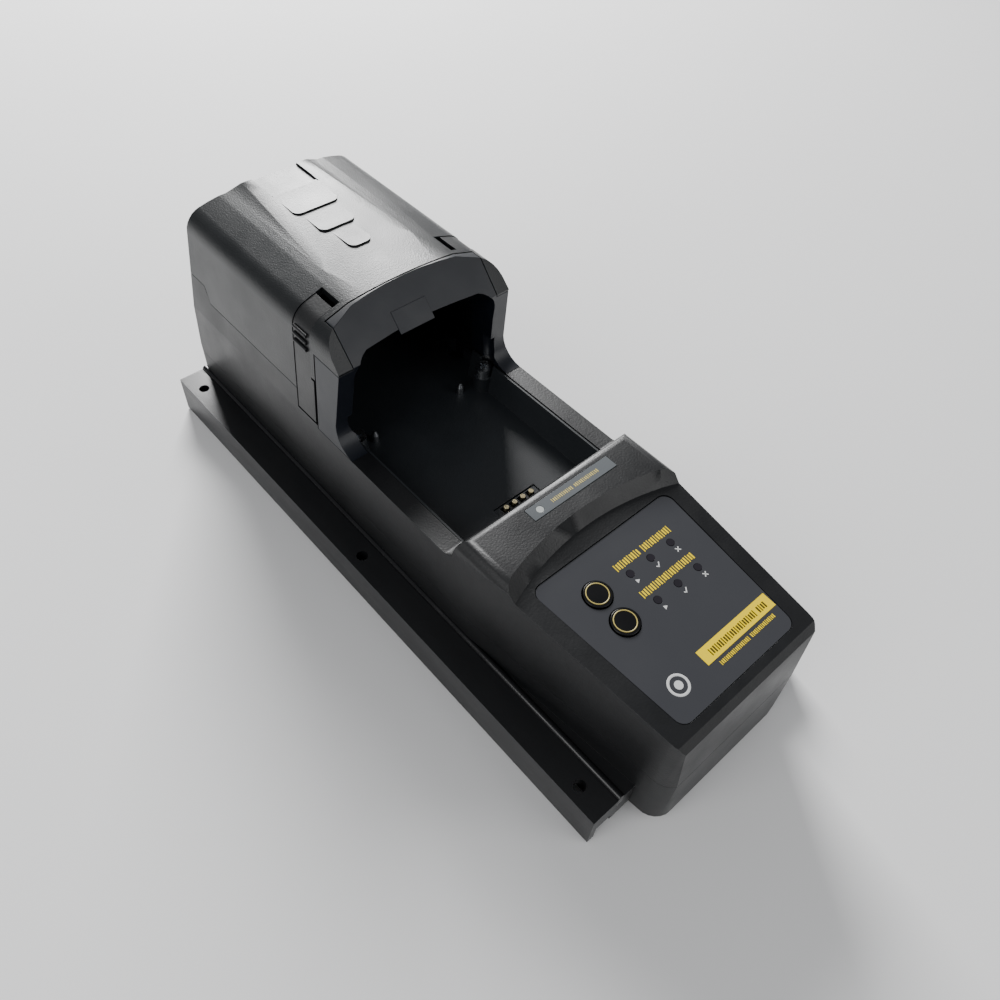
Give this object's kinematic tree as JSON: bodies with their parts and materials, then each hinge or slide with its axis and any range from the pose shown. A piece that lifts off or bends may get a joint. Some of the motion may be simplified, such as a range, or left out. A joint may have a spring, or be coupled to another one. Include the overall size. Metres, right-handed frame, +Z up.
{
  "type": "portable gas detector docking module",
  "caption": "Bench docking module for a hand-held gas detector: sloped control end, open bay, hinged hood with gas test cap, side mounting rails",
  "frame": {"origin": "bottom centre of the bounding box, on the bench", "axes": "+X to the right of a person at the control end, +Y from the control end to the hood, +Z up"},
  "size_m": [0.11, 0.2779, 0.11],
  "materials": {
    "shell_black": "moulded ABS with a fine texture",
    "base_black": "moulded ABS, smoother than the lid",
    "rail_black": "moulded ABS",
    "bead_black": "glossy extruded strip",
    "bezel_blue_black": "moulded ABS with a blue cast",
    "lid_black": "moulded ABS, fine grain",
    "tray_black": "satin ABS",
    "label_grey": "printed polycarbonate film",
    "strip_grey": "printed polycarbonate film",
    "button_black": "silicone keys",
    "lens_dark": "unlit lamp lenses",
    "lens_pale": "diffused lamp lens, unlit",
    "contact_gold": "gold plated",
    "steel": "plated",
    "board_green": "solder resist",
    "cap_grey": "acetal",
    "seal_rubber": "moulded",
    "filter_white": "sintered disc",
    "block_aluminium": "machined",
    "pump_grey": "satin",
    "valve_blue_grey": "moulded",
    "tube_clear": "soft PVC tube",
    "foot_rubber": "moulded"
  },
  "bodies": {
    "base": {"base_shell": "base_black", "rail_left": "rail_black", "rail_right": "rail_black", "bead_left": "bead_black", "bead_right": "bead_black", "body_shell": "shell_black", "front_bezel": "bezel_blue_black", "bay_tray": "tray_black", "contact_block": "tray_black", "lid_hinge_pin": "steel", "control_label": "label_grey", "button_switches": "tray_black", "led_lenses": "lens_dark", "led_board": "board_green", "status_strip": "strip_grey", "charge_led": "lens_pale", "main_board": "board_green", "board_screws": "steel", "pump": "pump_grey", "manifold": "block_aluminium", "solenoid_valves": "valve_blue_grey", "gas_fittings": "block_aluminium", "gas_tubes": "tube_clear", "bus_connector": "tray_black", "shell_screws": "steel", "mouth_screws": "steel", "locating_posts": "steel", "rubber_feet": "foot_rubber"},
    "lid": {"hood_lid": "lid_black", "release_pin": "steel", "latch_pin_left": "steel", "latch_pin_right": "steel", "test_cap": "cap_grey", "cap_seals": "seal_rubber", "cap_screws": "steel", "filter_disc": "filter_white"},
    "latch_left": {"latch_left": "shell_black"},
    "latch_right": {"latch_right": "shell_black"},
    "release": {"release_plate": "lid_black"},
    "button_bump": {"button_bump": "button_black"},
    "button_cal": {"button_cal": "button_black"},
    "contact_1": {"contact_1": "contact_gold"},
    "contact_2": {"contact_2": "contact_gold"},
    "contact_3": {"contact_3": "contact_gold"},
    "contact_4": {"contact_4": "contact_gold"}
  },
  "joints": [
    {"name": "lid_hinge", "type": "hinge", "parent": "base", "child": "lid", "pos_m": [0, 0.1306, 0.074], "axis": [-1, 0, 0], "range_deg": [0, 95]},
    {"name": "latch_left_pivot", "type": "hinge", "parent": "lid", "child": "latch_left", "pos_m": [-0.0346, 0.048, 0.085], "axis": [0, 1, 0], "range_deg": [0, 7], "stiffness_Nm_per_rad": 0.4},
    {"name": "latch_right_pivot", "type": "hinge", "parent": "lid", "child": "latch_right", "pos_m": [0.0346, 0.048, 0.085], "axis": [0, -1, 0], "range_deg": [0, 7], "stiffness_Nm_per_rad": 0.4},
    {"name": "release_press", "type": "hinge", "parent": "lid", "child": "release", "pos_m": [0, 0.1195, 0.1078], "axis": [1, 0, 0], "range_deg": [0, 7], "stiffness_Nm_per_rad": 0.2},
    {"name": "button_bump_press", "type": "slide", "parent": "base", "child": "button_bump", "axis": [0, 0.0791, -0.9969], "range_m": [0, 0.0008], "stiffness_N_per_m": 800},
    {"name": "button_cal_press", "type": "slide", "parent": "base", "child": "button_cal", "axis": [0, 0.0791, -0.9969], "range_m": [0, 0.0008], "stiffness_N_per_m": 800},
    {"name": "contact_1_press", "type": "slide", "parent": "base", "child": "contact_1", "axis": [0, 0, -1], "range_m": [0, 0.0012], "stiffness_N_per_m": 400},
    {"name": "contact_2_press", "type": "slide", "parent": "base", "child": "contact_2", "axis": [0, 0, -1], "range_m": [0, 0.0012], "stiffness_N_per_m": 400},
    {"name": "contact_3_press", "type": "slide", "parent": "base", "child": "contact_3", "axis": [0, 0, -1], "range_m": [0, 0.0012], "stiffness_N_per_m": 400},
    {"name": "contact_4_press", "type": "slide", "parent": "base", "child": "contact_4", "axis": [0, 0, -1], "range_m": [0, 0.0012], "stiffness_N_per_m": 400}
  ]
}
